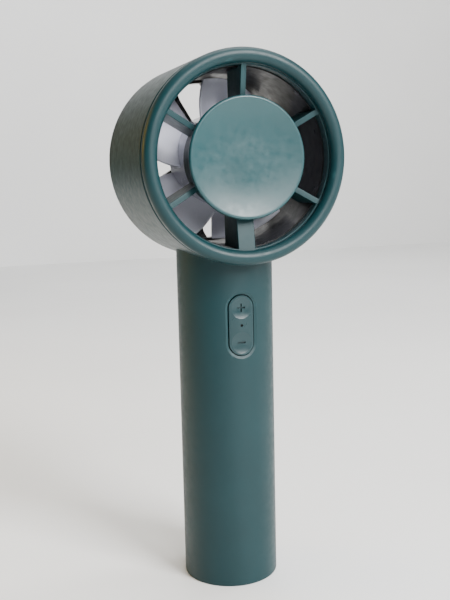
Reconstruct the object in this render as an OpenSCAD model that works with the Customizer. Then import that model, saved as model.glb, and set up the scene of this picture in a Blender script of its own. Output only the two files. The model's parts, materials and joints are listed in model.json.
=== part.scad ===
// Handheld electric fan: a round drum with a straight-through duct on a round handle.
// +Z is up along the handle, the front of the fan faces -Y, and the origin is the
// centre of the handle's flat base. Sizes are in millimetres.

/* [Handle] */
// Outside diameter of the handle
handle_d = 36; // [34:0.5:37]
// Wall of the handle shell
handle_wall = 2; // [1.6:0.1:2.2]
// Height of the head's axis above the base
head_z = 159.2; // [156:0.1:164]

/* [Drum] */
// Outside diameter of the drum
drum_d = 74; // [73:0.5:76]
// Front edge of the drum sleeve
sleeve_front = -22.7; // [-23:0.1:-22]
// Rear edge of the drum sleeve
sleeve_rear = 25.9; // [25.5:0.1:28]
// Wall of the drum sleeve
sleeve_wall = 1.6; // [1.2:0.1:1.6]
// Radius of the rounded lip's section
lip_r = 2.6; // [2.4:0.1:2.7]
// Inside diameter of the duct
duct_d = 62; // [61:0.2:62.2]

/* [Front grille] */
// Number of spokes
spoke_count = 6; // [5:1:8]
// Thickness of a plain spoke
spoke_t = 2; // [1.6:0.1:2.6]
// Width of the bottom spoke, which carries the leads
lead_spoke_w = 6.3; // [5.6:0.1:7]
// Diameter of the hub cup
cup_d = 36; // [35:0.5:37]
// Diameter of the dished hub cap
cap_d = 42.2; // [40:0.2:44]
// Depth of the hub cap's dish
dish_depth = 1.8; // [1:0.1:2]

/* [Impeller] */
// Number of blades
blade_count = 5; // [4:1:7]
// Diameter over the blade tips
impeller_d = 59.6; // [57:0.2:60]
// Diameter of the impeller's hub
impeller_hub_d = 34; // [33:0.2:34.4]
// Thickness of a blade at mid chord
blade_t = 1.3; // [1:0.1:1.6]

/* [Rear grille] */
// Number of swirled bars
bar_count = 12; // [8:1:14]
// Width of a bar
bar_w = 2.2; // [1.8:0.1:2.6]
// Distance of a bar's centre line from the head's axis
bar_offset = 3.3; // [0:0.1:5]

/* [Rocker key] */
// Height of the key's centre above the base
key_z = 99.6; // [98:0.1:100]
// Width of the key
key_w = 9.3; // [8.8:0.1:9.6]
// Height of the key
key_h = 22; // [21:0.1:22.4]

/* [Battery] */
// Diameter of the cell
cell_d = 21.2; // [18.4:0.1:21.3]
// Length of the cell
cell_len = 70; // [65:0.5:70]

/* [Hidden] */
$fn = 96;

eps = 0.5;                      // overshoot of a cut past the face it opens
handle_r = handle_d / 2;
bore_r = handle_r - handle_wall;
drum_r = drum_d / 2;
sleeve_bore_r = drum_r - sleeve_wall;
duct_r = duct_d / 2;
saddle_z = head_z - drum_r;     // lowest point of the drum

// seam, lip and ring behind it
seam_w = 1.8;
seam_depth = 1;
lip_y = sleeve_front - seam_w - 1.5;
lip_centre_r = drum_r - lip_r;
skirt_r = sleeve_bore_r - 0.1;
ring_front = lip_y + 1.1;
ring_rear = -21.5;
liner_wall = 1.4;
liner_front = ring_rear + 0.1;
liner_rear = 20.1;
flange_t = 1;
bezel_rear = -18;

// hub cup and cap
cup_r = cup_d / 2;
cup_wall = 1.4;
cup_front = -24.4;
cup_rear = -10;
cup_floor_t = 1.5;
cap_r = cap_d / 2;
cap_front = -27.7;
cap_rim = 0.8;
dish_flat = 0.3;                // share of the dish's radius that is flat
spoke_tip_r = 32.2;
spoke_front_in = -23.2;
spoke_front_out = -24.85;
spoke_rear = -10.4;

// motor
mount_front = -13.6;
mount_t = 1.6;
tube_r = 4;
tube_bore_r = 3;
tube_rear = 6.2;
boss_pitch_r = 13;
boss_r = 2.4;
boss_hole_depth = 5;
motor_screw_r = 0.8;
shaft_r = 1.5;
running_gap = 0.03;
bearing_w = 2.5;
stator_r = 11.8;
stator_half = 4.5;
tooth_count = 6;
tooth_w = 2.4;
magnet_r = 12.4;
rotor_bore_r = 14.4;
rotor_r = 15.4;
rotor_plate_y = 7.2;
bush_r = 2.9;

// impeller
hub_r = impeller_hub_d / 2;
tip_r = impeller_d / 2;
hub_front = -9;
hub_rear = 12;
hub_end_t = 1.6;
blade_front = -1.6;
blade_rear = 11;
blade_root_r = hub_r - 0.8;
lead_angle = 189.4;             // leading edge where it leaves the hub, seen from the front
lead_sweep = 1.13;              // degrees the leading edge falls back per mm of radius
trail_angle = 124;
chord_steps = 10;
span_steps = 6;

// rear grille
rear_ring_in = 30;
rear_ring_front = liner_rear + 0.1;
rear_ring_back = sleeve_rear - 0.4;
bar_y0 = 20.8;
bar_y1 = 23.6;
bar_hub_r = 12.9;
bar_phase = 121.5;

// handle's inner parts
board_y = -9.8;                 // front face of the main board
board_t = 1;
board_back = board_y + board_t;
board_half_w = 12.4;
board_z0 = 8.4;
board_z1 = 111;
bracket_z = 112;
bracket_r = bore_r - 0.05;
wire_hole_r = 4;
neck_screw_y = 10;
neck_screw_r = 1;
neck_screw_len = 8;
cell_y = 4;
cell_z = 14;
cell_r = cell_d / 2;
cradle_in = cell_r + 0.1;
cradle_out = 11.8;
cradle_z0 = 11.6;
cradle_z1 = 88.4;
cradle_end_t = 1.6;
usb_y = -11.4;
usb_w = 8.94;
usb_h = 3.16;
usb_z = 0.9;
usb_len = 7.3;
cap_t = 2.4;
cap_plug_h = 7;

// key
pivot_y = -13.6;
pin_r = 0.6;
pin_bore_r = 0.66;
key_face_r = handle_r - 0.25;
key_back = -15.4;
recess_grow = 2.6;              // how much larger the recess is than the key at the surface
throat_grow = 0.8;
throat_depth = 1.1;
dish_r = 4;
dish_sink = 0.55;
push_z = 6.4;                   // from the key's centre to each dish and switch
mark_len = 3;
mark_t = 0.45;
mark_deep = 0.25;
led_hole_r = 0.53;
foot_y = -14.1;
plunger_y = -14;
plunger_r = 0.8;
plunger_len = 2.7;
switch_y = -12.3;
lead_r = 0.6;

// colours
teal = [0.16, 0.29, 0.31];
teal_cap = [0.38, 0.52, 0.54];
teal_key = [0.26, 0.41, 0.42];
gloss_black = [0.05, 0.05, 0.06];
lavender = [0.80, 0.81, 0.86];
steel = [0.72, 0.73, 0.75];
brass = [0.80, 0.66, 0.34];
copper = [0.75, 0.42, 0.22];
board_green = [0.08, 0.32, 0.20];
white_nylon = [0.90, 0.89, 0.84];
grey_plastic = [0.42, 0.43, 0.45];

// ---- helpers ----
// facing(y): a plane at depth y on the head's axis, seen from the front, +Z towards the viewer
module facing(y) translate([0, y, head_z]) rotate([90, 0, 0]) children();
module disc(y0, y1, r) facing(y1) cylinder(r = r, h = y1 - y0);
module ring(y0, y1, r_out, r_in) difference() {
    disc(y0, y1, r_out);
    disc(y0 - eps, y1 + eps, r_in);
}
// turned(points): a profile of [radius, depth] points turned about the head's axis
module turned(points) facing(0) rotate_extrude() polygon([for (p = points) [p[0], -p[1]]]);
// on_handle(z): a plane on the key's axis, +Z towards the front
module on_handle(z, y) translate([0, y, z]) rotate([90, 0, 0]) children();
module bar(x0, x1, y0, y1, z0, z1) translate([x0, y0, z0]) cube([x1 - x0, y1 - y0, z1 - z0]);
function arc(cx, cy, r, a0, a1, n) =
    [for (i = [0 : n]) let (a = a0 + (a1 - a0) * i / n) [cx + r * cos(a), cy + r * sin(a)]];
module pill(w, h) union() {
    square([w, h - w], center = true);
    for (s = [-1, 1]) translate([0, s * (h - w) / 2]) circle(d = w);
}
module pill_block(w, h, z, y0, y1) on_handle(z, y1) linear_extrude(y1 - y0) pill(w, h);
// a wire swept along points; across is a direction that no stretch of it runs along
function unit(v) = v / norm(v);
function heading(p, i) = unit((i > 0 ? unit(p[i] - p[i - 1]) : [0, 0, 0])
    + (i < len(p) - 1 ? unit(p[i + 1] - p[i]) : [0, 0, 0]));
module wire(points, r, across) {
    sides = 8;
    last = len(points) - 1;
    rings = [for (i = [0 : last]) let (t = heading(points, i), u = unit(cross(t, across)), v = cross(t, u))
        for (k = [0 : sides - 1]) points[i] + r * (cos(k * 360 / sides) * u + sin(k * 360 / sides) * v)];
    walls = [for (i = [0 : last - 1]) for (k = [0 : sides - 1]) let (n = (k + 1) % sides)
        [i * sides + n, i * sides + k, (i + 1) * sides + k, (i + 1) * sides + n]];
    start = [for (k = [0 : sides - 1]) k];
    finish = [for (k = [sides - 1 : -1 : 0]) last * sides + k];
    polyhedron(rings, concat(walls, [start, finish]), convexity = 4);
}

// ---- handle ----
module key_recess() {
    pill_block(key_w + throat_grow, key_h + throat_grow, key_z, -handle_r - eps, -bore_r + 2);
    bevel_y = -handle_r + throat_depth;
    wide = (key_w + recess_grow) / 2;
    slim = (key_w + throat_grow) / 2;
    half = (key_h - key_w) / 2;
    rise = throat_depth + eps;
    flare = slim + (wide - slim) * rise / throat_depth;
    for (s = [-1, 1]) on_handle(key_z + s * half, bevel_y) cylinder(r1 = slim, r2 = flare, h = rise);
    translate([0, 0, key_z - half]) linear_extrude(2 * half)
        polygon([[-slim, bevel_y], [-flare, bevel_y - rise], [flare, bevel_y - rise], [slim, bevel_y]]);
}

module handle_shell() color(teal) difference() {
    edge = 0.4;
    top = head_z - sqrt(drum_r * drum_r - handle_r * handle_r) + 1;
    rotate_extrude() polygon(concat([[bore_r, 0]], arc(handle_r - edge, edge, edge, -90, 0, 6),
        [[handle_r, top], [bore_r, top]]));
    disc(-handle_r - 5, handle_r + 5, drum_r + 0.05);
    key_recess();
}

module base_cap() color(teal) difference() {
    cylinder(r = bore_r - 0.05, h = cap_plug_h);
    translate([0, 0, cap_t]) cylinder(r = bore_r - 1.7, h = cap_plug_h);
    translate([0, usb_y, -eps]) linear_extrude(cap_t + 2 * eps) rotate(90) pill(usb_h + 0.5, usb_w + 0.5);
}

module key_frame() color(grey_plastic) {
    plate_y0 = -14.3;
    plate_y1 = -12.8;
    half_w = 6.7;
    half_h = 12;
    difference() {
        union() {
            bar(-half_w, half_w, plate_y0, plate_y1, key_z - half_h, key_z + half_h);
            for (s = [-1, 1]) {
                bar(min(s * 4.6, s * 6.2), max(s * 4.6, s * 6.2), -14.7, -12.4, key_z - 1.6, key_z + 1.6);
                for (t = [-1, 1]) on_handle(key_z + t * 11, board_y) translate([s * 5.6, 0, 0])
                    cylinder(r = 1, h = board_y - plate_y1 + 0.1);
            }
        }
        bar(-4.6, 4.6, plate_y0 - 3, plate_y1 + 1, key_z - 10, key_z + 10);
        translate([-8, pivot_y, key_z]) rotate([0, 90, 0]) cylinder(r = pin_bore_r, h = 16);
    }
}

module neck_bracket() color(grey_plastic) difference() {
    translate([0, 0, bracket_z]) cylinder(r = bracket_r, h = head_z - bracket_z - 25);
    disc(-handle_r, handle_r, drum_r + 0.03);
    translate([0, 0, bracket_z - eps]) cylinder(r = wire_hole_r, h = 20);
    for (s = [-1, 1]) translate([0, s * neck_screw_y, saddle_z + sleeve_wall - neck_screw_len])
        cylinder(r = neck_screw_r, h = neck_screw_len);
}

module neck_screws() color(steel) for (s = [-1, 1])
    translate([0, s * neck_screw_y, saddle_z + sleeve_wall - neck_screw_len]) difference() {
        head_h = 1.3;
        union() {
            cylinder(r = neck_screw_r, h = neck_screw_len + 0.05);
            translate([0, 0, neck_screw_len + 0.05]) cylinder(r = 1.9, h = head_h);
        }
        translate([0, 0, neck_screw_len + head_h - 0.6]) cylinder(r = 0.8, h = 1.5, $fn = 6);
    }

// ---- head ----
module drum_sleeve() color(teal) difference() {
    edge = 0.5;
    turned(concat([[sleeve_bore_r, sleeve_front]],
        arc(drum_r - edge, sleeve_front + edge, edge, -90, 0, 6),
        arc(drum_r - edge, sleeve_rear - edge, edge, 0, 90, 6), [[sleeve_bore_r, sleeve_rear]]));
    translate([0, 0, saddle_z - 2]) cylinder(r = wire_hole_r, h = 6);
    for (s = [-1, 1]) translate([0, s * neck_screw_y, saddle_z - 2]) cylinder(r = neck_screw_r + 0.1, h = 6);
}

module front_bezel() color(teal) {
    seam_r = drum_r - seam_depth;
    foot_r = spoke_tip_r + 1;
    turned(concat(arc(lip_centre_r, lip_y, lip_r, 155, 360, 24),
        [[drum_r, sleeve_front - seam_w], [seam_r, sleeve_front - seam_w],
        [seam_r, sleeve_front - 0.05], [skirt_r, sleeve_front - 0.05],
        [skirt_r, bezel_rear], [foot_r, bezel_rear], [foot_r, ring_front]]));
}

module duct_liner() color(gloss_black) difference() {
    union() {
        ring(liner_front, liner_rear, duct_r + liner_wall, duct_r);
        ring(bezel_rear + 0.1, bezel_rear + 0.1 + flange_t, skirt_r, duct_r + 0.5);
        ring(liner_rear - flange_t, liner_rear, skirt_r, duct_r + 0.5);
    }
    bar(-2.2, 2.2, liner_front - eps, bezel_rear + 3, head_z - drum_r, head_z - duct_r + 1);
}

// one spoke pointing along +X: a plate on edge, its front edge rising towards the ring
module spoke(w) facing(0) translate([0, w / 2, 0]) rotate([90, 0, 0]) linear_extrude(w)
    polygon([[cup_r - 1, -spoke_front_in], [cap_r, -spoke_front_in], [spoke_tip_r, -spoke_front_out],
        [spoke_tip_r, -ring_rear], [duct_r, -ring_rear], [duct_r, -spoke_rear],
        [cup_r - 1, -spoke_rear]]);

module spokes_and_cup() difference() {
    union() {
        ring(ring_front, ring_rear, spoke_tip_r + 0.6, duct_r + 0.4);
        disc(cup_front, cup_rear, cup_r);
        for (i = [0 : spoke_count - 1]) {
            a = -90 + i * 360 / spoke_count;
            translate([0, 0, head_z]) rotate([0, -a, 0]) translate([0, 0, -head_z])
                spoke(i == 0 ? lead_spoke_w : spoke_t);
        }
    }
    disc(cup_front + cup_floor_t, cup_rear + eps, cup_r - cup_wall);
    ring(ring_rear, cup_rear + eps, drum_r, duct_r - 0.05);
    bar(-1.9, 1.9, -21, cup_rear + eps, head_z - duct_r - 3, head_z - cup_r + cup_wall + 0.4);
}

module front_grille() color(teal) {
    spokes_and_cup();
    difference() {
        facing(mount_front) motor_spots()
            cylinder(r = boss_r, h = mount_front - cup_front - cup_floor_t + 0.2);
        facing(mount_front + eps) motor_spots() cylinder(r = motor_screw_r + 0.03, h = boss_hole_depth);
    }
}

// how deep the dish is at a share x of its radius: flat in the middle, steepest at the rim
function dish_depth_at(x) = dish_depth * (1 - pow(max(0, (x - dish_flat) / (1 - dish_flat)), 2));
module hub_cap() color(teal_cap) {
    dish_rim_r = cap_r - cap_rim;
    steps = 24;
    turned(concat([for (i = [0 : steps]) [dish_rim_r * i / steps, cap_front + dish_depth_at(i / steps)]],
        arc(dish_rim_r, cap_front + cap_rim, cap_rim, -75, 0, 6),
        [[cap_r, -25.9], [cap_r - 0.9, -24.8], [cup_r, cup_front], [0, cup_front]]));
}

module rear_grille() color(gloss_black) {
    difference() {
        turned(concat([[skirt_r, rear_ring_front], [skirt_r, rear_ring_back]],
            arc(rear_ring_in + 1.2, rear_ring_back - 1.2, 1.2, 90, 180, 6),
            [[rear_ring_in, rear_ring_front]]));
        bar(-2.2, 2.2, rear_ring_front - 1, rear_ring_front + 0.01, 0, head_z);
    }
    turned([[0, bar_y0], [bar_hub_r, bar_y0], [bar_hub_r, bar_y1], [bar_hub_r - 0.8, bar_y1 + 0.6],
        [0, bar_y1 + 0.9]]);
    intersection() {
        disc(bar_y0, bar_y1, rear_ring_in + 0.6);
        difference() {
            for (i = [0 : bar_count - 1]) facing(bar_y1) rotate(bar_phase + i * 360 / bar_count)
                translate([0, -bar_offset - bar_w / 2, 0]) cube([rear_ring_in + 3, bar_w, bar_y1 - bar_y0]);
            disc(bar_y0 - eps, bar_y1 + eps, bar_hub_r - 1);
        }
    }
}

// ---- motor, fixed side ----
module motor_spots() for (i = [0 : 2]) rotate(90 + i * 120) translate([boss_pitch_r, 0, 0]) children();

module motor_mount() color(steel) difference() {
    union() {
        disc(mount_front, mount_front + mount_t, cup_r - cup_wall - 0.1);
        disc(mount_front, tube_rear, tube_r);
    }
    disc(mount_front - eps, tube_rear + eps, tube_bore_r);
    facing(mount_front + 3) motor_spots() cylinder(r = motor_screw_r + 0.2, h = 6);
    facing(mount_front + mount_t + eps) translate([0, -8.8, 0]) cylinder(r = 1.7, h = mount_t + 2 * eps);
}

module motor_screws() color(steel) facing(mount_front + mount_t) motor_spots() {
    cylinder(r = motor_screw_r, h = 6);
    translate([0, 0, -1]) cylinder(r = 1.5, h = 1);
}

module motor_board() color(board_green) {
    y0 = mount_front + mount_t;
    ring(y0, y0 + 1, 10.6, tube_r + 0.1);
    for (a = [40, 160, 280]) translate([7.2 * cos(a), y0 + 1, head_z + 7.2 * sin(a)])
        bar(-1.4, 1.4, 0, 1, -1.4, 1.4);
}

module tooth_shape(half, w, r0, r1) facing(half) for (i = [0 : tooth_count - 1])
    rotate(i * 360 / tooth_count) translate([r0, -w / 2, 0]) cube([r1 - r0, w, 2 * half]);

module stator_core() color(grey_plastic) difference() {
    union() {
        disc(-stator_half, stator_half, 6.2);
        tooth_shape(stator_half, tooth_w, 5.5, stator_r - 0.8);
        difference() {
            ring(-stator_half, stator_half, stator_r, stator_r - 1.1);
            facing(stator_half + eps) for (i = [0 : tooth_count - 1])
                rotate((i + 0.5) * 360 / tooth_count) translate([8, -0.9, 0])
                    cube([6, 1.8, 2 * stator_half + 2 * eps]);
        }
    }
    disc(-stator_half - eps, stator_half + eps, tube_r);
}

module stator_coils() color(copper) difference() {
    tooth_shape(stator_half + 1.2, tooth_w + 3, 6.8, stator_r - 1.6);
    tooth_shape(stator_half, tooth_w, 5, stator_r);
}

module bearing(y0) color(steel) ring(y0, y0 + bearing_w, tube_bore_r, shaft_r + running_gap);
module front_bearing() bearing(-11.6);
module rear_bearing() bearing(tube_rear - bearing_w);

// ---- rotor ----
function lead_at(r) = lead_angle - lead_sweep * (r - hub_r);
function blade_angle(r, t) = lead_at(r) + (trail_angle - lead_at(r)) * t;
// the camber line is steeper near the trailing edge, like a screw that gains pitch
function blade_depth(t) = blade_front + (blade_rear - blade_front) * (0.8 * t + 0.2 * t * t);
function half_t(t) = blade_t / 2 * (0.45 + 0.55 * sin(180 * t));
function blade_point(r, t, side) = let (a = blade_angle(r, t), y = blade_depth(t) + side * half_t(t))
    [r * cos(a), -y, r * sin(a)];

module blade() {
    n = chord_steps + 1;
    m = span_steps + 1;
    radii = [for (j = [0 : span_steps]) blade_root_r + (tip_r - blade_root_r) * j / span_steps];
    points = [for (side = [-1, 1]) for (r = radii) for (i = [0 : chord_steps])
        let (p = blade_point(r, i / chord_steps, side)) [p[0], p[2], p[1]]];
    function at(s, j, i) = s * n * m + j * n + i;
    skins = [for (j = [0 : span_steps - 1]) for (i = [0 : chord_steps - 1]) for (k = [0, 1])
        k == 0 ? [at(0, j, i), at(0, j + 1, i), at(0, j + 1, i + 1)]
               : [at(0, j, i), at(0, j + 1, i + 1), at(0, j, i + 1)]];
    backs = [for (j = [0 : span_steps - 1]) for (i = [0 : chord_steps - 1]) for (k = [0, 1])
        k == 0 ? [at(1, j, i), at(1, j + 1, i + 1), at(1, j + 1, i)]
               : [at(1, j, i), at(1, j, i + 1), at(1, j + 1, i + 1)]];
    ends = [for (i = [0 : chord_steps - 1]) for (j = [0, span_steps]) for (k = [0, 1])
        let (f = k == 0 ? [at(0, j, i), at(0, j, i + 1), at(1, j, i + 1)]
                        : [at(0, j, i), at(1, j, i + 1), at(1, j, i)])
        j == 0 ? f : [f[0], f[2], f[1]]];
    edges = [for (j = [0 : span_steps - 1]) for (i = [0, chord_steps]) for (k = [0, 1])
        let (f = k == 0 ? [at(0, j, i), at(1, j, i), at(1, j + 1, i)]
                        : [at(0, j, i), at(1, j + 1, i), at(0, j + 1, i)])
        i == 0 ? f : [f[0], f[2], f[1]]];
    polyhedron(points, concat(skins, backs, ends, edges), convexity = 4);
}

module impeller() color(lavender) {
    turned([[0, hub_rear], [hub_r - 1, hub_rear], [hub_r, hub_rear - 1], [hub_r, hub_front],
        [rotor_r, hub_front], [rotor_r, hub_rear - hub_end_t], [4.4, hub_rear - hub_end_t],
        [4.4, rotor_plate_y + 1.1], [bush_r, rotor_plate_y + 1.1],
        [bush_r, hub_rear - hub_end_t], [0, hub_rear - hub_end_t]]);
    facing(0) for (i = [0 : blade_count - 1]) rotate(i * 360 / blade_count) blade();
}

module rotor_cup() color(steel) difference() {
    union() {
        ring(-7, rotor_plate_y + 1, rotor_r, rotor_bore_r);
        disc(rotor_plate_y, rotor_plate_y + 1, rotor_bore_r + 0.5);
    }
    disc(rotor_plate_y - eps, rotor_plate_y + 2, bush_r);
    facing(rotor_plate_y + 2) for (i = [0 : 5]) rotate(i * 60) translate([9.4, 0, 0])
        cylinder(r = 1.8, h = 4);
}

module magnet_ring() color([0.25, 0.25, 0.27]) ring(-6, 6, rotor_bore_r, magnet_r);
module motor_shaft() color(steel) disc(-13.2, hub_rear - hub_end_t, shaft_r);
module rotor_bush() color(brass) ring(tube_rear + 0.4, hub_rear - hub_end_t, bush_r, shaft_r);

module shaft_clip() color(steel) difference() {
    ring(-12.5, -12, 2.6, shaft_r);
    bar(-0.7, 0.7, -13, -11.7, head_z, head_z + 3);
}

// ---- key and switches ----
module key_mark(z, plus) on_handle(z, -key_face_r + dish_sink + mark_deep) linear_extrude(1.5) union() {
    square([mark_len, mark_t], center = true);
    if (plus) square([mark_t, mark_len], center = true);
}

module rocker_key() color(teal_key) difference() {
    union() {
        intersection() {
            pill_block(key_w, key_h, key_z, -handle_r - 1, key_back);
            translate([0, 0, key_z - key_h]) cylinder(r = key_face_r, h = 2 * key_h);
        }
        for (s = [-1, 1]) {
            bar(min(s * 3.2, s * 4.3), max(s * 3.2, s * 4.3), key_back - 0.1, pivot_y + 0.9,
                key_z - 1.5, key_z + 1.5);
            on_handle(key_z + s * push_z, foot_y) cylinder(r = 1, h = foot_y - key_back + 0.1);
        }
        translate([-5.6, pivot_y, key_z]) rotate([0, 90, 0]) cylinder(r = pin_r, h = 11.2);
    }
    ball_r = (dish_r * dish_r + dish_sink * dish_sink) / (2 * dish_sink);
    for (s = [-1, 1]) {
        translate([0, -key_face_r + dish_sink - ball_r, key_z + s * push_z]) sphere(r = ball_r);
        key_mark(key_z + s * push_z, s > 0);
    }
    on_handle(key_z, key_back + 1) cylinder(r = led_hole_r, h = 6);
    bar(-3.1, 3.1, pivot_y - 1, pivot_y + 1, key_z - 1.7, key_z + 1.7);
}

module light_pipe() color([0.02, 0.03, 0.03])
    on_handle(key_z, -15.1) cylinder(r = led_hole_r, h = 2.4, $fn = 32);

module plunger(z) color(white_nylon) on_handle(z, plunger_y + plunger_len)
    cylinder(r = plunger_r, h = plunger_len);
module plus_plunger() plunger(key_z + push_z);
module minus_plunger() plunger(key_z - push_z);

module switch_body(z) color(gloss_black) difference() {
    bar(-2.6, 2.6, switch_y, board_y, z - 2, z + 2);
    on_handle(z, board_y - 0.6) cylinder(r = plunger_r + 0.05, h = 6);
}
module plus_switch() switch_body(key_z + push_z);
module minus_switch() switch_body(key_z - push_z);
module indicator_led() color([0.95, 0.93, 0.80])
    bar(-0.8, 0.8, board_y - 0.7, board_y, key_z - 0.5, key_z + 0.5);

// ---- electronics in the handle ----
module screw_spots() for (s = [-1, 1]) for (z = [16, 84])
    on_handle(z, board_y) translate([s * 10.6, 0, 0]) children();

module main_board() color(board_green) difference() {
    bar(-board_half_w, board_half_w, board_y, board_y + board_t, board_z0, board_z1);
    screw_spots() translate([0, 0, -2]) cylinder(r = 0.9, h = 4);
}

module board_parts() {
    color(gloss_black) {
        bar(-2.5, 2.5, board_y - 1, board_y, 22, 27);
        bar(-2, 4, board_y - 1.2, board_y, 60, 65);
        bar(3, 6, board_y - 0.9, board_y, 72, 76);
    }
    color(grey_plastic) bar(-3.2, 3.2, board_y - 3, board_y, 38, 44.4);
    color(copper) for (z = [31, 48, 52, 69]) bar(-6.5, -4.9, board_y - 0.8, board_y, z, z + 2.4);
}

module board_screws() color(steel) screw_spots() {
    translate([0, 0, -5.5]) cylinder(r = 0.7, h = 5.5);
    cylinder(r = 1.2, h = 0.7);
}

module usb_socket() color(steel) {
    translate([0, usb_y, usb_z]) linear_extrude(usb_len) rotate(90) difference() {
        pill(usb_h, usb_w);
        pill(usb_h - 0.6, usb_w - 0.6);
    }
    bar(-usb_w / 2 + 1.6, usb_w / 2 - 1.6, usb_y - usb_h / 2 + 0.2, usb_y + usb_h / 2 - 0.2,
        usb_z + usb_len - 1, usb_z + usb_len);
    bar(-3.3, 3.3, usb_y - 0.35, usb_y + 0.35, usb_z + 1, usb_z + usb_len - 0.5);
}

module motor_socket() color(white_nylon) bar(-2.6, 2.6, board_back, board_back + 3, 96, 100);
module motor_plug() color(white_nylon) bar(-2.2, 2.2, board_back + 0.3, board_back + 2.7, 100, 103);
module battery_socket() color(white_nylon) bar(-9.6, -4.6, board_back, board_back + 3, 100, 104);
module battery_plug() color(gloss_black) bar(-9.2, -5, board_back + 0.3, board_back + 2.7, 97, 100);

module battery_cell() color([0.20, 0.42, 0.66]) translate([0, cell_y, cell_z]) {
    cylinder(r = cell_r, h = cell_len - 1);
    translate([0, 0, cell_len - 1]) cylinder(r = cell_r - 2.6, h = 1);
}

module battery_tabs() color(steel) {
    bar(-3, 3, board_back + 0.4, cell_y + 3, cell_z - 0.3, cell_z);
    bar(-3, 3, cell_y - 8, cell_y + 3, cell_z + cell_len, cell_z + cell_len + 0.3);
}

module battery_pad() color([0.10, 0.10, 0.11]) translate([0, cell_y, cell_z + cell_len + 0.3])
    difference() {
        cylinder(r = 8.6, h = cradle_z1 - cradle_end_t - cell_z - cell_len - 0.3);
        translate([-4, -12, -eps]) cube([8, 12, 6]);
    }

module battery_cradle() color(grey_plastic) difference() {
    union() {
        translate([0, cell_y, cradle_z0]) cylinder(r = cradle_out, h = cradle_z1 - cradle_z0);
        bar(-cradle_out, cradle_out, board_back, cell_y, cradle_z0, cradle_z1);
        for (s = [-1, 1])
            bar(min(s * 8, s * 11), max(s * 8, s * 11), cell_y - 3, cell_y + 3, cap_t, cradle_z0);
        screw_spots() translate([0, 0, -6]) cylinder(r = 1.8, h = 6 - board_t);
    }
    translate([0, cell_y, cradle_z0 + cradle_end_t])
        cylinder(r = cradle_in, h = cradle_z1 - cradle_z0 - 2 * cradle_end_t);
    bar(-9, 9, board_back - 1, cell_y, cradle_z0 + cradle_end_t, cradle_z1 - cradle_end_t);
    bar(-4.5, 4.5, board_back - 1, cell_y - 3, cradle_z1 - 3, cradle_z1 + 1);
    screw_spots() translate([0, 0, -5.5]) cylinder(r = 0.7, h = 6);
}

module battery_leads() {
    color([0.75, 0.08, 0.08]) wire([[-1.5, -4.6, 84.95], [-1.5, -5.4, 88], [-2.4, -6.2, 91],
        [-5.4, -6.6, 93.4], [-6.2, -6.8, 95], [-6.2, -6.9, 97]], lead_r, [0, 1, 0.2]);
    color(gloss_black) wire([[1.5, -7.8, 14], [1.5, -7.8, 88], [0.6, -7.9, 90.6], [-6, -8.1, 92.2],
        [-8, -8, 94], [-8, -7.8, 97]], lead_r, [0, 1, 0.2]);
}

// the motor's leads: up the neck, forward under the duct, up the wide spoke to the motor
module motor_leads() {
    gap_z = head_z - (duct_r + liner_wall + sleeve_bore_r) / 2;
    for (s = [-1, 1]) color(s < 0 ? [0.75, 0.08, 0.08] : gloss_black)
        wire([for (p = [[0.8, -7.2, 103.05], [0.8, -6.8, 105.5], [0.8, -4.4, 109], [0.8, -1.8, 111.6],
            [0.8, -1, 114], [0.8, -1, gap_z - 3], [0.9, -1.9, gap_z - 0.9], [1.4, -4, gap_z],
            [2.8, -7, gap_z], [2.8, -13, gap_z], [1.4, -15.2, gap_z + 0.5], [0.9, -16.4, gap_z + 2.2],
            [0.8, -16.6, gap_z + 4.5], [0.8, -16.6, head_z - 12.4], [0.8, -15.6, head_z - 9.8],
            [0.8, -14, head_z - 8.8], [0.8, -12.05, head_z - 8.8]]) [s * p[0], p[1], p[2]]],
            lead_r, [1, 0, 0]);
}

handle_shell();
base_cap();
key_frame();
neck_bracket();
neck_screws();
drum_sleeve();
duct_liner();
front_bezel();
front_grille();
hub_cap();
rear_grille();
motor_mount();
motor_screws();
motor_board();
stator_core();
stator_coils();
front_bearing();
rear_bearing();
impeller();
rotor_cup();
magnet_ring();
motor_shaft();
rotor_bush();
shaft_clip();
rocker_key();
light_pipe();
plus_plunger();
minus_plunger();
plus_switch();
minus_switch();
indicator_led();
main_board();
board_parts();
board_screws();
usb_socket();
motor_socket();
motor_plug();
battery_socket();
battery_plug();
battery_cell();
battery_tabs();
battery_pad();
battery_cradle();
battery_leads();
motor_leads();
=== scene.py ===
import json
import math

import bmesh
import bpy
from mathutils import Matrix, Vector


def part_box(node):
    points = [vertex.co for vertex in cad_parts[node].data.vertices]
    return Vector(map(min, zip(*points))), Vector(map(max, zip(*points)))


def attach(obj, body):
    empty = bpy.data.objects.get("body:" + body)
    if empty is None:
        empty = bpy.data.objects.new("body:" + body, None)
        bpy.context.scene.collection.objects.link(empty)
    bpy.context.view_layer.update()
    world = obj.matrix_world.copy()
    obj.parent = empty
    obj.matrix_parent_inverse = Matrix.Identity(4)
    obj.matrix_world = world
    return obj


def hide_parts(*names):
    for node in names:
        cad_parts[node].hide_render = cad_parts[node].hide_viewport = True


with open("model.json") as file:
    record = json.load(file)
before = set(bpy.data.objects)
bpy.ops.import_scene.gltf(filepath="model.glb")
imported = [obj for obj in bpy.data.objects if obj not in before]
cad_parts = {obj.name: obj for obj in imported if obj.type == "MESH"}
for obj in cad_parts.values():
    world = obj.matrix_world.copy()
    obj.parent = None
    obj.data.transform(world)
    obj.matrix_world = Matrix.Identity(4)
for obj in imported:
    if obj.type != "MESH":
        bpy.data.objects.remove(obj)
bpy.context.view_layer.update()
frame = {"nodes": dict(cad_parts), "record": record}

# ---------------------------------------------------------------------------
# Sizes, in metres, read from the frame or named here
# ---------------------------------------------------------------------------
MM = 0.001
TAU = 2 * math.pi

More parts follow.
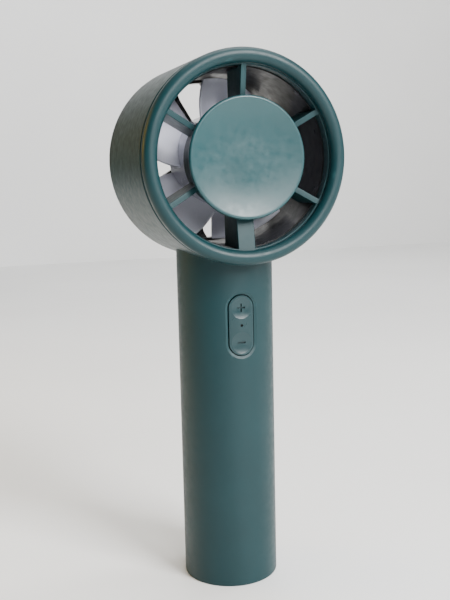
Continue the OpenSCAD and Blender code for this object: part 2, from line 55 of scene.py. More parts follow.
lip_lo, lip_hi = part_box("front_bezel")
sleeve_lo, sleeve_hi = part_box("drum_sleeve")
shell_lo, shell_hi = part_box("handle_shell")
cap_lo, cap_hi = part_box("hub_cap")
grille_lo, grille_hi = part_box("front_grille")
liner_lo, liner_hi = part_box("duct_liner")
rear_lo, rear_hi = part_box("rear_grille")
wheel_lo, wheel_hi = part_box("impeller")
key_lo, key_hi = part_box("rocker_key")
pipe_lo, pipe_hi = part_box("light_pipe")
base_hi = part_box("base_cap")[1]
port_lo, port_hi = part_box("usb_socket")

DRUM_R = (lip_hi.x - lip_lo.x) / 2
HEAD_Z = (lip_hi.z + lip_lo.z) / 2
HANDLE_R = (shell_hi.x - shell_lo.x) / 2
WALL = 2 * MM
SLEEVE_WALL = 1.6 * MM
LIP_R = 2.6 * MM
DUCT_R = 31 * MM
CUP_R = 18 * MM
CUP_WALL = 1.4 * MM
CAP_R = (cap_hi.x - cap_lo.x) / 2
KEY_Z = (key_hi.z + key_lo.z) / 2
KEY_W = 9.3 * MM
KEY_H = key_hi.z - key_lo.z
RECESS_GROW = 2.6 * MM
THROAT_GROW = 0.8 * MM
CHAMFER_DEPTH = 0.55 * MM
PUSH_Z = 6.4 * MM


# ---------------------------------------------------------------------------
# Materials
# ---------------------------------------------------------------------------
def linear(rgb):
    """A colour as seen on a screen, turned into the values that a shader wants."""
    return [c / 12.92 if c <= 0.04045 else ((c + 0.055) / 1.055) ** 2.4 for c in rgb] + [1.0]


class Finish:
    """A material under construction, with short names for the nodes it needs."""

    def __init__(self, name):
        self.material = bpy.data.materials.new(name)
        self.material.use_nodes = True
        self.tree = self.material.node_tree
        self.shader = self.tree.nodes["Principled BSDF"]
        self.place = self.tree.nodes.new("ShaderNodeTexCoord")

    def noise(self, scale, detail=3.0, rough=0.5):
        node = self.tree.nodes.new("ShaderNodeTexNoise")
        node.inputs["Scale"].default_value = scale
        node.inputs["Detail"].default_value = detail
        node.inputs["Roughness"].default_value = rough
        self.tree.links.new(self.place.outputs["Object"], node.inputs["Vector"])
        return node.outputs["Fac"]

    def stretched(self, scale, stretch):
        """Noise drawn out along an axis, for brushed and turned metal."""
        node = self.tree.nodes.new("ShaderNodeTexNoise")
        turn = self.tree.nodes.new("ShaderNodeMapping")
        turn.inputs["Scale"].default_value = stretch
        node.inputs["Scale"].default_value = scale
        node.inputs["Detail"].default_value = 2.0
        self.tree.links.new(self.place.outputs["Object"], turn.inputs["Vector"])
        self.tree.links.new(turn.outputs["Vector"], node.inputs["Vector"])
        return node.outputs["Fac"]

    def span(self, value, low, high, from_low=0.3, from_high=0.7):
        node = self.tree.nodes.new("ShaderNodeMapRange")
        node.inputs["From Min"].default_value = from_low
        node.inputs["From Max"].default_value = from_high
        node.inputs["To Min"].default_value = low
        node.inputs["To Max"].default_value = high
        self.tree.links.new(value, node.inputs["Value"])
        return node.outputs["Result"]

    def blend(self, factor, first, second):
        """Mixes two colours, each a screen colour or another node's output."""
        node = self.tree.nodes.new("ShaderNodeMix")
        node.data_type = "RGBA"
        self.tree.links.new(factor, node.inputs["Factor"])
        for socket, colour in ((node.inputs[6], first), (node.inputs[7], second)):
            if isinstance(colour, (list, tuple)):
                socket.default_value = linear(colour)
            else:
                self.tree.links.new(colour, socket)
        return node.outputs[2]

    def edges(self):
        """Where the surface turns sharply outwards, as worn edges do."""
        node = self.tree.nodes.new("ShaderNodeNewGeometry")
        return self.span(node.outputs["Pointiness"], 0.0, 1.0, 0.52, 0.60)

    def bump(self, height, strength, distance):
        node = self.tree.nodes.new("ShaderNodeBump")
        node.inputs["Strength"].default_value = strength
        node.inputs["Distance"].default_value = distance
        self.tree.links.new(height, node.inputs["Height"])
        if self.shader.inputs["Normal"].is_linked:
            self.tree.links.new(self.shader.inputs["Normal"].links[0].from_socket, node.inputs["Normal"])
        self.tree.links.new(node.outputs["Normal"], self.shader.inputs["Normal"])

    def set(self, **values):
        """Plain values, the same all over the surface, straight on the shader's sockets."""
        for key, value in values.items():
            self.shader.inputs[key.replace("_", " ")].default_value = value

    def feed(self, socket, value):
        self.tree.links.new(value, self.shader.inputs[socket])


def moulded(name, colour, rough, grain=1.0, spread=0.035, wear=0.12, specular=0.5):
    """Spark-eroded plastic: a fine even grain, faint cloudiness and slightly polished edges."""
    f = Finish(name)
    darker = [c * (1 - spread) for c in colour]
    lighter = [min(1.0, c * (1 + spread) + 0.004) for c in colour]
    worn = [min(1.0, c + (1 - c) * wear) for c in colour]
    body = f.blend(f.span(f.noise(55, 4), 0.0, 1.0), darker, lighter)
    f.feed("Base Color", f.blend(f.edges(), body, worn))
    f.feed("Roughness", f.span(f.noise(420, 3), rough - 0.05, rough + 0.06))
    f.bump(f.noise(5200, 2), 0.18 * grain, 0.00003)
    f.bump(f.noise(900, 2), 0.06 * grain, 0.00006)
    f.set(Specular_IOR_Level=specular)
    return f.material


def glossy(name, colour, rough, spread=0.05, coat=0.0, wear=0.05, specular=0.5):
    """Polished plastic: faint flow waves from the mould and a few dull patches."""
    f = Finish(name)
    darker = [c * (1 - spread) for c in colour]
    worn = [min(1.0, c + (1 - c) * wear) for c in colour]
    body = f.blend(f.span(f.noise(80, 3), 0.0, 1.0), darker, colour)
    f.feed("Base Color", f.blend(f.edges(), body, worn))
    f.feed("Roughness", f.span(f.noise(260, 4, 0.6), rough * 0.75, rough * 1.35))
    f.bump(f.noise(140, 2), 0.05, 0.0002)
    f.bump(f.noise(3800, 2), 0.05, 0.00002)
    f.set(Coat_Weight=coat, Specular_IOR_Level=specular)
    return f.material


def metal(name, colour, rough, stretch=(1.0, 1.0, 12.0)):
    """Plain metal with drawn marks along one axis and duller, darker patches."""
    f = Finish(name)
    marks = f.stretched(900, stretch)
    darker = [c * 0.8 for c in colour]
    f.feed("Base Color", f.blend(f.span(marks, 0.0, 1.0), darker, colour))
    f.feed("Roughness", f.span(f.noise(300, 3), rough - 0.06, rough + 0.1))
    f.bump(marks, 0.12, 0.00003)
    f.set(Metallic=1.0)
    return f.material


def layered_board(name):
    """Green solder mask with paler tracks beneath it."""
    f = Finish(name)
    tracks = f.tree.nodes.new("ShaderNodeTexBrick")
    tracks.inputs["Scale"].default_value = 420
    tracks.inputs["Mortar Size"].default_value = 0.03
    tracks.inputs["Color1"].default_value = linear((0.05, 0.26, 0.15))
    tracks.inputs["Color2"].default_value = linear((0.04, 0.23, 0.13))
    tracks.inputs["Mortar"].default_value = linear((0.10, 0.36, 0.20))
    f.tree.links.new(f.place.outputs["Object"], tracks.inputs["Vector"])
    f.feed("Base Color", tracks.outputs["Color"])
    f.feed("Roughness", f.span(f.noise(500), 0.28, 0.42))
    f.bump(tracks.outputs["Fac"], 0.15, 0.00005)
    return f.material


def wound(name, colour):
    """Enamelled wire: fine bands across the coil."""
    f = Finish(name)
    bands = f.tree.nodes.new("ShaderNodeTexWave")
    bands.inputs["Scale"].default_value = 900
    bands.inputs["Distortion"].default_value = 0.6
    f.tree.links.new(f.place.outputs["Object"], bands.inputs["Vector"])
    f.feed("Base Color", f.blend(bands.outputs["Fac"], [c * 0.55 for c in colour], colour))
    f.feed("Roughness", f.span(f.noise(600), 0.25, 0.4))
    f.bump(bands.outputs["Fac"], 0.5, 0.0001)
    f.set(Metallic=0.7)
    return f.material


def sponge(name, colour):
    """Closed-cell foam: small pits all over."""
    f = Finish(name)
    pits = f.tree.nodes.new("ShaderNodeTexVoronoi")
    pits.inputs["Scale"].default_value = 2400
    f.tree.links.new(f.place.outputs["Object"], pits.inputs["Vector"])
    f.feed("Base Color", f.blend(pits.outputs["Distance"], [c * 0.6 for c in colour], colour))
    f.set(Roughness=0.95)
    f.bump(pits.outputs["Distance"], 0.6, 0.0003)
    return f.material


TEAL = (0.025, 0.165, 0.180)
FINISHES = {
    "teal_shell": moulded("matte_teal", TEAL, 0.42, wear=0.06, specular=0.3),
    # Painted light: the cap is the shell's teal painted lighter, standing in for the sheen it catches from
    # the lamps above.
    "teal_cap": moulded("satin_teal_cap_painted_light", (0.085, 0.235, 0.25), 0.34, grain=0.7, wear=0.06),
    "teal_key": moulded("satin_teal_key", (0.03, 0.165, 0.18), 0.32, grain=0.6, wear=0.06, specular=0.4),
    "duct_black": glossy("black_duct", (0.012, 0.014, 0.014), 0.34, specular=0.2),
    # Painted shade: the rear grille is coloured near-black to stand in for the shade at the back of the head.
    "grille_black": glossy("near_black_grille_painted_shade", (0.045, 0.047, 0.05), 0.30),
    "impeller_plastic": glossy("pale_lavender", (0.88, 0.885, 0.94), 0.22, spread=0.02, coat=0.2),
    "bright_steel": metal("bright_steel", (0.78, 0.79, 0.80), 0.28),
    "rotor_steel": metal("drawn_steel", (0.62, 0.63, 0.65), 0.34, (1.0, 9.0, 1.0)),
    "core_steel": metal("stacked_sheet", (0.42, 0.43, 0.45), 0.4, (1.0, 30.0, 1.0)),
    "magnet": metal("sintered_magnet", (0.22, 0.22, 0.23), 0.55, (1.0, 1.0, 1.0)),
    "bush_brass": metal("turned_brass", (0.86, 0.70, 0.36), 0.25, (1.0, 14.0, 1.0)),
    "coil_copper": wound("enamelled_copper", (0.80, 0.42, 0.20)),
    "board": layered_board("solder_mask"),
    "chip": moulded("chip_black", (0.07, 0.07, 0.075), 0.5),
    "inner_grey": moulded("moulded_grey", (0.42, 0.43, 0.45), 0.5),
    "nylon_white": moulded("white_nylon", (0.88, 0.87, 0.82), 0.42, wear=0.02),
    "cell_wrap": glossy("blue_film", (0.14, 0.38, 0.64), 0.25),
    "foam": sponge("black_foam", (0.09, 0.09, 0.095)),
    "lead_skin": glossy("red_insulation", (0.52, 0.07, 0.06), 0.42),
    "pipe_smoke": glossy("smoked_pipe", (0.008, 0.010, 0.010), 0.4, wear=0.0, specular=0.1),
    "led_lens": glossy("led_lens", (0.93, 0.91, 0.80), 0.12),
}


# ---------------------------------------------------------------------------
# Mesh tools
# ---------------------------------------------------------------------------
def arc(cx, cy, r, start, end, steps):
    """Points on a circle's arc, from start to end degrees."""
    turns = [math.radians(start + (end - start) * i / steps) for i in range(steps + 1)]
    return [(cx + r * math.cos(a), cy + r * math.sin(a)) for a in turns]


def outline(bm, points, rounds=()):
    """A flat face in the XY plane through the points, with chosen corners rounded."""
    corners = [bm.verts.new((x, y, 0)) for x, y in points]
    bm.faces.new(corners)
    for number, radius, steps in rounds:
        bmesh.ops.bevel(bm, geom=[corners[number]], offset=radius, offset_type="OFFSET",
                        segments=steps, profile=0.5, affect="VERTICES", material=-1)


def turned(points, rounds=(), about="Y", steps=192):
    """A section of (radius, depth) points turned about the Y axis, or of (radius, height) about Z."""
    bm = bmesh.new()
    outline(bm, points, rounds)
    bmesh.ops.delete(bm, geom=bm.faces[:], context="FACES_ONLY")
    on_axis = [e for e in bm.edges if all(abs(v.co.x) < 1e-9 for v in e.verts)]
    bmesh.ops.delete(bm, geom=on_axis, context="EDGES")
    bmesh.ops.spin(bm, geom=bm.verts[:] + bm.edges[:], cent=(0, 0, 0), axis=(0, 1, 0), angle=TAU,
                   steps=steps, use_merge=True)
    bmesh.ops.remove_doubles(bm, verts=bm.verts[:], dist=1e-7)
    if about == "Z":
        bmesh.ops.rotate(bm, verts=bm.verts[:], cent=(0, 0, 0), matrix=Matrix.Rotation(math.pi / 2, 3, "X"))
    bmesh.ops.recalc_face_normals(bm, faces=bm.faces[:])
    return bm


def to_head(bm):
    """Lifts a shape turned about the origin's Y axis to the head's axis."""
    bmesh.ops.translate(bm, verts=bm.verts[:], vec=(0, 0, HEAD_Z))
    return bm


def joined(*parts):
    """Several bmeshes as one."""
    whole = bmesh.new()
    for part in parts:
        mesh = bpy.data.meshes.new("part")
        part.to_mesh(mesh)
        part.free()
        whole.from_mesh(mesh)
        bpy.data.meshes.remove(mesh)
    return whole


def block(x, y, z):
    """A plain box between pairs of limits."""
    bm = bmesh.new()
    bmesh.ops.create_cube(bm, size=1)
    bmesh.ops.scale(bm, verts=bm.verts[:], vec=(x[1] - x[0], y[1] - y[0], z[1] - z[0]))
    bmesh.ops.translate(bm, verts=bm.verts[:], vec=((x[0] + x[1]) / 2, (y[0] + y[1]) / 2, (z[0] + z[1]) / 2))
    return bm


def pill(levels, shift, centre, steps=128):
    """A pill-shaped solid standing along Z. Each level is its (depth in Y, half width); shift is
    how far each rounded end's centre is from the middle."""
    bm = bmesh.new()
    half_step = Matrix.Rotation(math.pi / steps, 4, "Z")
    upright = Matrix.Rotation(math.pi / 2, 4, "X")
    start_y, start_w = levels[0]
    bmesh.ops.create_circle(bm, cap_ends=True, segments=steps, radius=start_w, matrix=upright @ half_step)
    for v in bm.verts:
        v.co.y = start_y
        v.co.z += math.copysign(shift, v.co.z)
    loop = bm.edges[:]
    width = start_w
    for depth, half_w in levels[1:]:
        grown = bmesh.ops.extrude_edge_only(bm, edges=loop)["geom"]
        loop = [g for g in grown if isinstance(g, bmesh.types.BMEdge)]
        for v in [g for g in grown if isinstance(g, bmesh.types.BMVert)]:
            end = math.copysign(shift, v.co.z)
            v.co.x *= half_w / width
            v.co.z = end + (v.co.z - end) * half_w / width
            v.co.y = depth
        width = half_w
    bmesh.ops.contextual_create(bm, geom=loop)
    bmesh.ops.translate(bm, verts=bm.verts[:], vec=(0, 0, centre))
    bmesh.ops.recalc_face_normals(bm, faces=bm.faces[:])
    return bm


def as_object(name, bm):
    mesh = bpy.data.meshes.new(name)
    bm.to_mesh(mesh)
    bm.free()
    made = bpy.data.objects.new(name, mesh)
    bpy.context.scene.collection.objects.link(made)
    return made


def bake_down(made):
    """Applies a piece's modifiers to its mesh."""
    bpy.context.view_layer.update()
    graph = bpy.context.evaluated_depsgraph_get()
    mesh = bpy.data.meshes.new_from_object(made.evaluated_get(graph))
    old = made.data
    made.modifiers.clear()
    made.data = mesh
    bpy.data.meshes.remove(old)


def carve(made, cutter_bm, how="DIFFERENCE"):
    """Cuts, joins or keeps the overlap of a piece and another shape."""
    cutter = as_object("cutter", cutter_bm)
    step = made.modifiers.new("carve", "BOOLEAN")
    step.operation = how
    step.solver = "EXACT"
    step.object = cutter
    bake_down(made)
    bpy.data.objects.remove(cutter)


def carved(bm, cutter_bm):
    """A shape with another cut from it, given back as a bmesh."""
    held = as_object("held", bm)
    carve(held, cutter_bm)
    left = bmesh.new()
    left.from_mesh(held.data)
    bpy.data.objects.remove(held)
    return left


def round_edges(made, width, steps):
    """Rounds every edge sharper than thirty degrees."""
    rounding = made.modifiers.new("edge_round", "BEVEL")
    rounding.width = width
    rounding.segments = steps
    rounding.limit_method = "ANGLE"
    rounding.angle_limit = math.radians(30)
    rounding.use_clamp_overlap = True
    bake_down(made)


def finish_piece(made, body, slot, nodes, edge=0.0, sharp=40):
    """Smooths a piece's shading and ties it to the frame, after rounding its edges if edge is given."""
    if edge:
        round_edges(made, edge, 2)
    made.data.polygons.foreach_set("use_smooth", [True] * len(made.data.polygons))
    made.data.set_sharp_from_angle(angle=math.radians(sharp))
    even = made.modifiers.new("even_shading", "WEIGHTED_NORMAL")
    even.keep_sharp = True
    bake_down(made)
    made.data.materials.clear()
    made.data.materials.append(FINISHES[slot])
    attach(made, body)
    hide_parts(*nodes)


# ---------------------------------------------------------------------------
# Handle
# ---------------------------------------------------------------------------
def key_recess():
    """The throat that the key sits in, with a chamfer round it that follows the handle's curve."""
    slim = (KEY_W + THROAT_GROW) / 2
    wide = (KEY_W + RECESS_GROW) / 2
    floor = -HANDLE_R + CHAMFER_DEPTH
    lift = 0.6 * MM
    flare = slim + (wide - slim) * (CHAMFER_DEPTH + lift) / CHAMFER_DEPTH
    cutter = pill([(-HANDLE_R + 2 * WALL, slim), (floor, slim), (floor - (CHAMFER_DEPTH + lift), flare)],
                  (KEY_H - KEY_W) / 2, KEY_Z)
    for v in cutter.verts:
        v.co.y += HANDLE_R - math.sqrt(HANDLE_R ** 2 - v.co.x ** 2)
    return cutter


def make_handle():
    top = shell_hi.z + 1 * MM
    inner = HANDLE_R - WALL
    rows = 120
    outside = [(HANDLE_R, top * i / rows) for i in range(rows + 1)]
    tube = turned([(inner, 0)] + outside + [(inner, top)], [(1, 0.45 * MM, 5)], about="Z", steps=256)
    made = as_object("handle_tube", tube)
    reach = 40 * MM
    saddle_r = DRUM_R + 0.02 * MM
    saddle = to_head(turned([(0, -reach), (saddle_r, -reach), (saddle_r, reach), (0, reach)], steps=384))
    carve(made, saddle)
    carve(made, key_recess())
    finish_piece(made, "body", "teal_shell", ["handle_shell"], sharp=20)


def make_base_cap():
    outer, floor = base_hi.x, 2.4 * MM
    inner = outer - 1.6 * MM
    plate = turned([(0, 0), (outer, 0), (outer, base_hi.z), (inner, base_hi.z), (inner, floor), (0, floor)],
                   [(1, 0.3 * MM, 3)], about="Z")
    made = as_object("base_cap_disc", plate)
    gap = 0.25 * MM
    port_y = (port_lo.y + port_hi.y) / 2
    port_r = (port_hi.y - port_lo.y) / 2
    slot_r = port_r + gap
    slot_shift = (port_hi.x - port_lo.x) / 2 - port_r
    mouth = pill([(-1 * MM, slot_r + 1.2 * MM), (0.5 * MM, slot_r), (4 * MM, slot_r)], slot_shift, 0)
    bmesh.ops.rotate(mouth, verts=mouth.verts[:], cent=(0, 0, 0), matrix=Matrix.Rotation(math.pi / 2, 3, "X"))
    bmesh.ops.rotate(mouth, verts=mouth.verts[:], cent=(0, 0, 0), matrix=Matrix.Rotation(math.pi / 2, 3, "Z"))
    bmesh.ops.translate(mouth, verts=mouth.verts[:], vec=(0, port_y, 0))
    carve(made, mouth)
    finish_piece(made, "body", "teal_shell", ["base_cap"], edge=0.08 * MM)


# ---------------------------------------------------------------------------
# Key
# ---------------------------------------------------------------------------
def make_key():
    face_r = -key_lo.y
    back = -15.4 * MM
    shift = (KEY_H - KEY_W) / 2
    slab = as_object("rocker_cap", pill([(back, KEY_W / 2), (-HANDLE_R - 1 * MM, KEY_W / 2)], shift, KEY_Z))
    rows = 60
    face = [(face_r, KEY_Z + KEY_H * (2 * i / rows - 1)) for i in range(rows + 1)]
    crown = turned([(0, KEY_Z - KEY_H)] + face + [(0, KEY_Z + KEY_H)], about="Z", steps=384)
    carve(slab, crown, "INTERSECT")
    round_edges(slab, 0.22 * MM, 8)
    dish_r, sink, widen = 4.0 * MM, 0.6 * MM, 1.8
    ball_r = (dish_r ** 2 + sink ** 2) / (2 * sink)
    for side in (-1, 1):
        ball = bmesh.new()
        half_step = Matrix.Rotation(math.pi / 256, 4, "Z")
        bmesh.ops.create_uvsphere(ball, u_segments=256, v_segments=129, radius=ball_r, matrix=half_step)
        bmesh.ops.scale(ball, verts=ball.verts[:], vec=(widen, 1, 1))
        middle = (0, -face_r + sink - ball_r, KEY_Z + side * PUSH_Z)
        bmesh.ops.translate(ball, verts=ball.verts[:], vec=middle)
        carve(slab, ball)
    mark_y = (-face_r - 1 * MM, -face_r + sink + 0.7 * MM)
    long, thin = 1.5 * MM, 0.32 * MM
    for side in (-1, 1):
        z = KEY_Z + side * PUSH_Z
        carve(slab, block((-long, long), mark_y, (z - thin, z + thin)))
        if side > 0:
            carve(slab, block((-thin, thin), mark_y, (z - long, z + long)))
    hole_r = 0.53 * MM
    hole = pill([(back + 1 * MM, hole_r), (-HANDLE_R - 1 * MM, hole_r)], 0, KEY_Z, steps=48)
    carve(slab, hole)
    finish_piece(slab, "key", "teal_key", ["rocker_key"], sharp=13)


def make_light_pipe():
    radius = (pipe_hi.x - pipe_lo.x) / 2
    rod = turned([(0, pipe_lo.y), (radius, pipe_lo.y), (radius, pipe_hi.y), (0, pipe_hi.y)],
                 [(1, 0.2 * MM, 4)], steps=48)
    bmesh.ops.translate(rod, verts=rod.verts[:], vec=(0, 0, (pipe_lo.z + pipe_hi.z) / 2))
    finish_piece(as_object("indicator_pipe", rod), "key", "pipe_smoke", ["light_pipe"])


# ---------------------------------------------------------------------------
# Head
# ---------------------------------------------------------------------------
def make_sleeve():
    inner = DRUM_R - SLEEVE_WALL
    skin = turned([(inner, sleeve_lo.y), (DRUM_R, sleeve_lo.y), (DRUM_R, sleeve_hi.y), (inner, sleeve_hi.y)],
                  [(0, 0.3 * MM, 3), (1, 0.5 * MM, 5), (2, 0.7 * MM, 6), (3, 0.5 * MM, 4)], steps=256)
    finish_piece(as_object("sleeve_skin", to_head(skin)), "body", "teal_shell", ["drum_sleeve"])


def make_bezel():
    front = lip_lo.y
    centre_y = front + LIP_R
    inner = DRUM_R - 2 * LIP_R
    seam_y = sleeve_lo.y
    back = lip_hi.y
    groove_y, rest_y = seam_y - 1.8 * MM, seam_y - 0.05 * MM
    groove_r, tail_r, mouth_r = DRUM_R - 1 * MM, DRUM_R - 1.7 * MM, 33.2 * MM
    lip = arc(DRUM_R - LIP_R, centre_y, LIP_R, 155, 360, 28)
    section = lip + [(DRUM_R, groove_y), (groove_r, groove_y), (groove_r, rest_y), (tail_r, rest_y),
                     (tail_r, back), (mouth_r, back), (mouth_r, centre_y + 1.1 * MM)]
    edge = len(lip)
    ring = turned(section, [(edge, 0.22 * MM, 3), (edge + 1, 0.2 * MM, 3)], steps=256)
    finish_piece(as_object("bezel_lip", to_head(ring)), "body", "teal_shell", ["front_bezel"])


def spoke(width, turn, front_in, front_out, tip_r, ring_rear, rear):
    """One spoke standing on edge, its front edge rising towards the ring, turned round the axis."""
    root_r = CUP_R - 0.6 * MM
    duct = DUCT_R - 0.05 * MM
    bm = bmesh.new()
    outline(bm, [(root_r, front_in), (CAP_R, front_in), (tip_r, front_out), (tip_r, ring_rear),
                 (duct, ring_rear), (duct, rear), (root_r, rear)])
    grown = bmesh.ops.extrude_face_region(bm, geom=bm.faces[:])["geom"]
    bmesh.ops.translate(bm, verts=[g for g in grown if isinstance(g, bmesh.types.BMVert)], vec=(0, 0, width))
    bmesh.ops.translate(bm, verts=bm.verts[:], vec=(0, 0, -width / 2))
    bmesh.ops.recalc_face_normals(bm, faces=bm.faces[:])
    bmesh.ops.bevel(bm, geom=bm.edges[:], offset=0.22 * MM, offset_type="OFFSET", segments=3,
                    profile=0.5, affect="EDGES", clamp_overlap=True, material=-1)
    swing = Matrix.Rotation(-math.radians(turn), 3, "Y")
    bmesh.ops.rotate(bm, verts=bm.verts[:], cent=(0, 0, 0), matrix=swing)
    return to_head(bm)


def make_front_grille():
    front_in, front_out = -23.2 * MM, grille_lo.y
    ring_rear, rear = -21.5 * MM, grille_hi.y - 0.4 * MM
    tip_r = 32.2 * MM
    cup_front = cap_hi.y
    cup_back, cup_floor = grille_hi.y, cup_front + 1.5 * MM
    cup_in = CUP_R - CUP_WALL
    cup = to_head(turned([(0, cup_front), (CUP_R, cup_front), (CUP_R, cup_back), (cup_in, cup_back),
                          (cup_in, cup_floor), (0, cup_floor)], [(2, 0.4 * MM, 4), (3, 0.3 * MM, 3)]))
    ring_in, ring_out = 31.4 * MM, 32.9 * MM
    ring_front = front_out + 0.12 * MM
    ring = to_head(turned([(ring_in, ring_front), (ring_out, ring_front), (ring_out, ring_rear),
                           (ring_in, ring_rear)], [(0, 0.3 * MM, 4), (3, 0.15 * MM, 2)]))
    channel = to_head(block((-1.9 * MM, 1.9 * MM), (-21 * MM, -9 * MM), (-34 * MM, -17 * MM)))
    lead_spoke = carved(spoke(6.3 * MM, -90, front_in, front_out, tip_r, ring_rear, rear), channel)
    spokes = [spoke(2.0 * MM, -90 + 60 * i, front_in, front_out, tip_r, ring_rear, rear) for i in range(1, 6)]
    made = as_object("spoke_moulding", joined(cup, ring, lead_spoke, *spokes))
    finish_piece(made, "body", "teal_shell", ["front_grille"])


def make_hub_cap():
    """A disc with a soft dish: flat in the middle and steepest at the rim."""
    front, back = cap_lo.y, cap_hi.y
    rim, depth, flat = 0.8 * MM, 1.8 * MM, 0.3
    dish_r = CAP_R - rim
    steps = 40
    dish = []
    for i in range(steps + 1):
        r = dish_r * i / steps
        lift = max(0.0, (r / dish_r - flat) / (1 - flat)) ** 2
        dish.append((r, front + depth * (1 - lift)))
    edge = arc(dish_r, front + rim, rim, -90, 0, 8)[1:]
    section = dish + edge + [(CAP_R, -25.9 * MM), (CAP_R - 0.9 * MM, -24.8 * MM), (CUP_R, back), (0, back)]
    first = len(dish) + len(edge)
    made = turned(section, [(first, 0.4 * MM, 4), (first + 1, 0.4 * MM, 4)], steps=256)
    # The cap's lighter teal is painted light for its sheen.
    finish_piece(as_object("dished_cap", to_head(made)), "body", "teal_cap", ["hub_cap"])


def make_liner():
    inner, outer = DUCT_R, DUCT_R + 1.4 * MM
    tube = turned([(inner, liner_lo.y), (outer, liner_lo.y), (outer, liner_hi.y), (inner, liner_hi.y)],
                  [(0, 0.25 * MM, 3)], steps=256)
    finish_piece(as_object("duct_wall", to_head(tube)), "body", "duct_black", ["duct_liner"])


def rear_bar(turn):
    """A straight bar that misses the axis, with filleted feet where it meets the ring."""
    half, offset = 1.1 * MM, -3.3 * MM
    start, foot, end = 11.5 * MM, 26.4 * MM, 31.2 * MM
    flare = 2.6 * MM
    bm = bmesh.new()
    outline(bm, [(start, offset - half), (foot, offset - half), (end, offset - half - flare),
                 (end, offset + half + flare), (foot, offset + half), (start, offset + half)],
            [(1, 2.2 * MM, 6), (4, 2.2 * MM, 6)])
    grown = bmesh.ops.extrude_face_region(bm, geom=bm.faces[:])["geom"]
    depth = 2.8 * MM
    bmesh.ops.translate(bm, verts=[g for g in grown if isinstance(g, bmesh.types.BMVert)], vec=(0, 0, depth))
    bmesh.ops.recalc_face_normals(bm, faces=bm.faces[:])
    rails = [e for e in bm.edges if abs(e.verts[0].co.z - e.verts[1].co.z) < 1e-9]
    bmesh.ops.bevel(bm, geom=rails, offset=0.35 * MM, offset_type="OFFSET", segments=3, profile=0.5,
                    affect="EDGES", clamp_overlap=True, material=-1)
    swing = Matrix.Rotation(math.radians(turn), 3, "Z")
    upright = Matrix.Rotation(math.pi / 2, 3, "X")
    bmesh.ops.rotate(bm, verts=bm.verts[:], cent=(0, 0, 0), matrix=swing)
    bmesh.ops.rotate(bm, verts=bm.verts[:], cent=(0, 0, 0), matrix=upright)
    bmesh.ops.translate(bm, verts=bm.verts[:], vec=(0, 23.6 * MM, 0))
    return to_head(bm)


def make_rear_grille():
    front, back = rear_lo.y, rear_hi.y
    outer = (rear_hi.x - rear_lo.x) / 2
    inner = 30 * MM
    ring = to_head(turned([(inner, front), (outer, front), (outer, back), (inner, back)],
                          [(2, 0.4 * MM, 4), (3, 1.3 * MM, 7), (0, 0.5 * MM, 3)], steps=256))
    hub_front, hub_r = 20.8 * MM, 12.9 * MM
    hub = to_head(turned([(0, hub_front), (hub_r, hub_front), (hub_r, 24.2 * MM), (9 * MM, 24.4 * MM),
                          (8.2 * MM, 24.0 * MM), (0, 24.3 * MM)],
                         [(1, 0.4 * MM, 3), (2, 0.8 * MM, 6), (3, 0.3 * MM, 3), (4, 0.3 * MM, 3)]))
    bars = [rear_bar(121.5 + 30 * i) for i in range(12)]
    made = as_object("swirl_grille", joined(ring, hub, *bars))
    # The grille's near-black finish is painted shade.
    finish_piece(made, "body", "grille_black", ["rear_grille"])


# ---------------------------------------------------------------------------
# Impeller
# ---------------------------------------------------------------------------
def blade(turn, hub_r, tip_r):
    """A thin blade that winds back from its leading edge, with rounded edges."""
    chord_steps, span_steps = 36, 16
    root = hub_r - 0.7 * MM
    y0, y1 = -1.6 * MM, 11 * MM
    thick = 1.25 * MM
    bm = bmesh.new()
    bmesh.ops.create_grid(bm, x_segments=chord_steps, y_segments=span_steps, size=0.5)
    for v in bm.verts:
        t, s = v.co.x + 0.5, v.co.y + 0.5
        r = root + (tip_r - root) * s
        lead = 189.4 - 1.13 * (r - hub_r) / MM
        a = math.radians(lead + (124 - lead) * t + turn)
        v.co = (r * math.cos(a), y0 + (y1 - y0) * (0.8 * t + 0.2 * t * t), r * math.sin(a))
    bmesh.ops.recalc_face_normals(bm, faces=bm.faces[:])
    bmesh.ops.solidify(bm, geom=bm.faces[:], thickness=thick)
    rims = [e for e in bm.edges if e.is_manifold and e.calc_face_angle() > math.radians(50)]
    bmesh.ops.bevel(bm, geom=rims, offset=0.42 * MM, offset_type="OFFSET", segments=4, profile=0.5,
                    affect="EDGES", clamp_overlap=True, material=-1)
    bmesh.ops.recalc_face_normals(bm, faces=bm.faces[:])
    return to_head(bm)


def make_impeller():
    hub_r = 17 * MM
    tip_r = 29.8 * MM
    front, back = wheel_lo.y, wheel_hi.y
    inner = 15.4 * MM
    hub = to_head(turned([(0, back), (hub_r, back), (hub_r, front), (inner, front), (inner, back - 1.6 * MM),
                          (0, back - 1.6 * MM)], [(1, 1.6 * MM, 8), (2, 0.4 * MM, 4)]))
    blades = [blade(72 * i, hub_r, tip_r) for i in range(5)]
    made = as_object("fan_wheel", joined(hub, *blades))
    finish_piece(made, "rotor", "impeller_plastic", ["impeller"], sharp=50)


# ---------------------------------------------------------------------------
# Parts kept from the frame
# ---------------------------------------------------------------------------
def finish_frame_nodes():
    """Gives each of the frame's own nodes the finish of its slot."""
    slot_of = {row["node"]: row["material_slot"] for row in frame["record"]["subparts"]}
    for name, node in frame["nodes"].items():
        for number in range(len(node.material_slots)):
            node.material_slots[number].material = FINISHES[slot_of[name]]


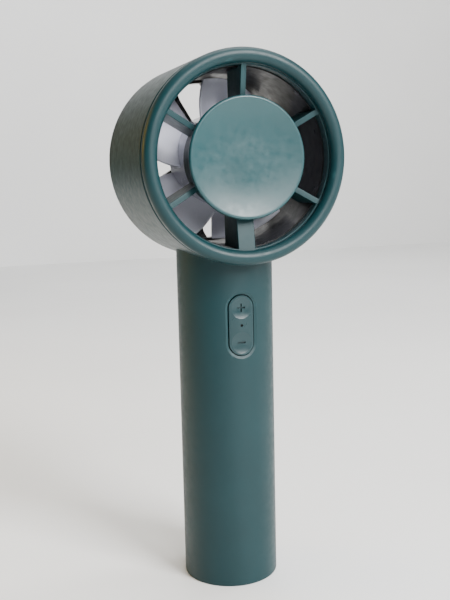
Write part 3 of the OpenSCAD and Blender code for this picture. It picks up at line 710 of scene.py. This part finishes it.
# ---------------------------------------------------------------------------
# Stage
# ---------------------------------------------------------------------------
def make_floor():
    """A pale floor with a pale backdrop board standing well behind the fan."""
    bm = bmesh.new()
    bmesh.ops.create_grid(bm, x_segments=1, y_segments=1, size=3)
    board_x, board_y, board_half, narrow = 0.9, 1.3, 1.5, 0.7
    upright = Matrix.Translation((board_x, board_y, board_half)) @ Matrix.Rotation(math.pi / 2, 4, "X")
    bmesh.ops.create_grid(bm, x_segments=1, y_segments=1, size=board_half, matrix=upright)
    for v in bm.verts:
        if v.co.z > 0 or abs(v.co.y - board_y) < 0.001:
            v.co.x = board_x + (v.co.x - board_x) * narrow
    floor = as_object("floor", bm)
    f = Finish("pale_floor")
    f.feed("Base Color", f.blend(f.span(f.noise(3), 0.0, 1.0), (0.90, 0.90, 0.895), (0.93, 0.93, 0.925)))
    f.feed("Roughness", f.span(f.noise(200), 0.45, 0.6))
    floor.data.materials.append(f.material)


def soft_light(name, place, target, size, power, colour=(1, 1, 1)):
    data = bpy.data.lights.new(name, "AREA")
    data.shape = "RECTANGLE"
    data.size, data.size_y = size
    data.energy = power
    data.color = colour
    lamp = bpy.data.objects.new(name, data)
    lamp.location = place
    lamp.rotation_euler = (Vector(target) - Vector(place)).to_track_quat("-Z", "Y").to_euler()
    bpy.context.scene.collection.objects.link(lamp)


def make_lights():
    head = (0, 0, HEAD_Z)
    soft_light("key_light", (0.42, -0.84, 0.72), head, (0.45, 0.60), 30)
    soft_light("front_fill", (-0.06, -1.0, 0.50), head, (0.25, 0.35), 4.5)
    soft_light("side_light", (0.95, -0.40, 0.35), (0, 0, 0.1), (0.3, 0.8), 2)
    soft_light("top_light", (0.25, 0.2, 1.5), (0.25, 0.2, 0), (1.2, 1.2), 16)
    soft_light("wall_wash", (0.6, 0.2, 1.7), (0.6, 1.3, 0.4), (1.6, 0.3), 16)
    soft_light("warm_side", (-0.50, 0.30, 0.32), head, (0.3, 0.3), 1.4, (1.0, 0.62, 0.04))
    world = bpy.data.worlds.new("studio")
    world.use_nodes = True
    world.node_tree.nodes["Background"].inputs["Color"].default_value = (0.80, 0.82, 0.84, 1)
    world.node_tree.nodes["Background"].inputs["Strength"].default_value = 0.16
    bpy.context.scene.world = world


def make_camera():
    """A normal lens to the left of the fan, level with its upper part and tilted down slightly."""
    data = bpy.data.cameras.new("camera")
    data.sensor_width = 36
    data.lens = 51.16
    yaw, pitch, roll = math.radians(19.37), math.radians(-8.19), math.radians(-1.32)
    ahead = Vector((math.sin(yaw) * math.cos(pitch), math.cos(yaw) * math.cos(pitch), math.sin(pitch)))
    right = Vector((math.cos(yaw), -math.sin(yaw), 0))
    up = right.cross(ahead)
    right_turned = math.cos(roll) * right + math.sin(roll) * up
    up_turned = -math.sin(roll) * right + math.cos(roll) * up
    facing = Matrix((right_turned, up_turned, -ahead)).transposed()
    camera = bpy.data.objects.new("camera", data)
    place = (-0.10639, -0.30260, 0.15281)
    camera.matrix_world = Matrix.Translation(place) @ facing.to_4x4()
    data.clip_start, data.clip_end = 0.01, 50
    bpy.context.scene.collection.objects.link(camera)
    bpy.context.scene.camera = camera


make_camera()
finish_frame_nodes()
make_handle()
make_base_cap()
make_key()
make_light_pipe()
make_sleeve()
make_bezel()
make_front_grille()
make_hub_cap()
make_liner()
make_rear_grille()
make_impeller()
make_floor()
make_lights()
